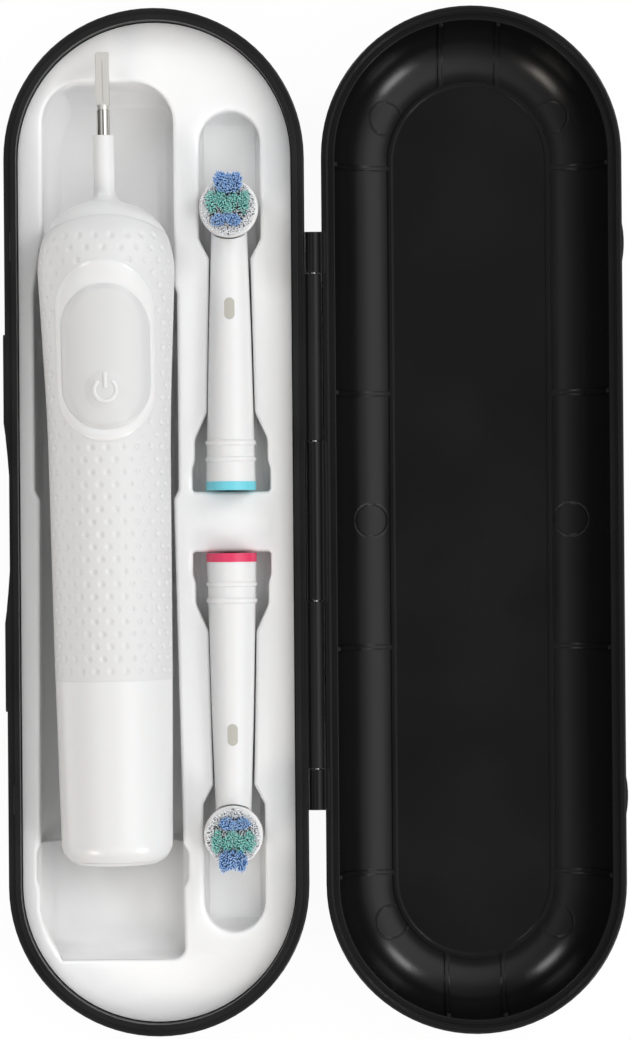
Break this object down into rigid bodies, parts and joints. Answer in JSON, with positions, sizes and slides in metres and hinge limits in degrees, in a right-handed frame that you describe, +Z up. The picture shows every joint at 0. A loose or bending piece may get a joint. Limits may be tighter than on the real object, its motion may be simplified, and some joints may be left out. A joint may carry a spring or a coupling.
{
  "type": "electric toothbrush travel case",
  "caption": "Hinged hard travel case, opened flat, with a moulded tray holding an electric toothbrush handle and spare brush heads.",
  "frame": {"origin": "on the surface the opened case rests on, under the hinge axis, at the middle of its length", "axes": "+X from the base toward the opened lid, +Y along the length toward the drive shaft's tip, +Z up"},
  "size_m": [0.139, 0.23, 0.0385],
  "materials": {
    "case_black": "satin black moulded plastic",
    "hinge_steel": "ground steel pin",
    "tray_white": "white moulded plastic",
    "handle_white": "white glossy plastic",
    "grip_grey": "light grey soft moulded rubber",
    "button_grey": "pale grey soft moulded rubber",
    "seal_rubber": "black rubber",
    "copper_coil": "wound enamelled copper",
    "bobbin_plastic": "dark moulded plastic",
    "battery_green": "green sleeved metal can",
    "nickel_strip": "nickel plated strip",
    "frame_plastic": "natural moulded plastic",
    "motor_steel": "drawn steel can",
    "rotor_steel": "laminated iron",
    "gear_acetal": "natural acetal",
    "board_green": "green printed circuit board",
    "screw_steel": "zinc plated steel",
    "switch_black": "black moulded plastic",
    "shaft_steel": "polished stainless steel",
    "bush_bronze": "sintered bronze",
    "head_white": "white glossy plastic",
    "insert_grey": "grey moulded plastic",
    "ring_teal": "teal glossy plastic",
    "ring_red": "crimson glossy plastic",
    "inlay_beige": "beige strip",
    "bristle_blue": "blue nylon filament",
    "bristle_teal": "teal nylon filament",
    "bristle_white": "translucent white nylon filament"
  },
  "bodies": {
    "base": {"base_shell": "case_black", "hinge_pin": "hinge_steel", "tray_insert": "tray_white"},
    "lid": {"lid_shell": "case_black"},
    "handle": {"handle_housing": "handle_white", "grip_sleeve": "grip_grey", "button_bezel": "handle_white", "bottom_cap": "handle_white", "cap_seal_ring": "seal_rubber", "coil_bobbin": "bobbin_plastic", "charge_coil": "copper_coil", "inner_frame": "frame_plastic", "battery_cell": "battery_green", "battery_contacts": "nickel_strip", "motor_can": "motor_steel", "gear_axle": "screw_steel", "circuit_board": "board_green", "board_screws": "screw_steel", "tact_switch": "switch_black", "lower_shaft_bush": "bush_bronze", "upper_shaft_bush": "bush_bronze", "shaft_seal": "seal_rubber"},
    "button": {"power_button": "button_grey"},
    "plunger": {"switch_plunger": "switch_black"},
    "rotor": {"motor_rotor": "rotor_steel", "motor_pinion": "gear_acetal"},
    "crank": {"crank_gear": "gear_acetal"},
    "shaft": {"drive_shaft": "shaft_steel", "rocker_arm": "gear_acetal"},
    "head_1": {"head_1_body": "head_white", "head_1_wear_inlay": "inlay_beige", "head_1_colour_ring": "ring_teal", "head_1_pivot_pin": "screw_steel"},
    "head_1_drive": {"head_1_coupling_insert": "insert_grey", "head_1_drive_rod": "insert_grey"},
    "head_1_brush": {"head_1_disc": "head_white", "head_1_tufts_blue": "bristle_blue", "head_1_tufts_teal": "bristle_teal", "head_1_tufts_white": "bristle_white"},
    "head_2": {"head_2_body": "head_white", "head_2_wear_inlay": "inlay_beige", "head_2_colour_ring": "ring_red", "head_2_pivot_pin": "screw_steel"},
    "head_2_drive": {"head_2_coupling_insert": "insert_grey", "head_2_drive_rod": "insert_grey"},
    "head_2_brush": {"head_2_disc": "head_white", "head_2_tufts_blue": "bristle_blue", "head_2_tufts_teal": "bristle_teal", "head_2_tufts_white": "bristle_white"}
  },
  "joints": [
    {"name": "lid_hinge", "type": "hinge", "parent": "base", "child": "lid", "pos_m": [0, 0, 0.02105], "axis": [0, -1, 0], "range_deg": [0, 180]},
    {"name": "handle_lift", "type": "slide", "parent": "base", "child": "handle", "axis": [0, 0, 1], "range_m": [0, 0.06]},
    {"name": "button_press", "type": "slide", "parent": "handle", "child": "button", "axis": [0, 0, -1], "range_m": [0, 0.0005], "stiffness_N_per_m": 300},
    {"name": "plunger_press", "type": "slide", "parent": "handle", "child": "plunger", "axis": [0, 0, -1], "range_m": [0, 0.0005]},
    {"name": "motor_spin", "type": "hinge", "parent": "handle", "child": "rotor", "pos_m": [-0.04566, 0.00779, 0.0228], "axis": [-0.0119, 0.9999, 0], "continuous": true},
    {"name": "crank_spin", "type": "hinge", "parent": "handle", "child": "crank", "pos_m": [-0.04582, 0.02179, 0.0172], "axis": [-0.0119, 0.9999, 0], "continuous": true},
    {"name": "shaft_swing", "type": "hinge", "parent": "handle", "child": "shaft", "pos_m": [-0.04632, 0.06379, 0.0223], "axis": [-0.0119, 0.9999, 0], "range_deg": [-14.7, 14.7]},
    {"name": "head_1_lift", "type": "slide", "parent": "base", "child": "head_1", "axis": [0, 0, 1], "range_m": [0, 0.06]},
    {"name": "head_1_disc_turn", "type": "hinge", "parent": "head_1", "child": "head_1_brush", "pos_m": [-0.0188, 0.07005, 0.0216], "axis": [0, 0, 1], "range_deg": [-27.5, 27.5]},
    {"name": "head_1_rod_swing", "type": "hinge", "parent": "head_1", "child": "head_1_drive", "pos_m": [-0.0188, 0.04705, 0.017], "axis": [0, 1, 0], "continuous": true},
    {"name": "head_2_lift", "type": "slide", "parent": "base", "child": "head_2", "axis": [0, 0, 1], "range_m": [0, 0.06]},
    {"name": "head_2_disc_turn", "type": "hinge", "parent": "head_2", "child": "head_2_brush", "pos_m": [-0.0188, -0.07005, 0.0216], "axis": [0, 0, 1], "range_deg": [-27.5, 27.5]},
    {"name": "head_2_rod_swing", "type": "hinge", "parent": "head_2", "child": "head_2_drive", "pos_m": [-0.0188, -0.04705, 0.017], "axis": [0, -1, 0], "continuous": true}
  ],
  "couplings": [
    {"joint": "plunger_press", "follows": "button_press", "ratio": 1},
    {"joint": "crank_spin", "follows": "motor_spin", "ratio": -0.4},
    {"joint": "head_1_rod_swing", "follows": "head_1_disc_turn", "ratio": 0.53455},
    {"joint": "head_2_rod_swing", "follows": "head_2_disc_turn", "ratio": 0.53455}
  ]
}
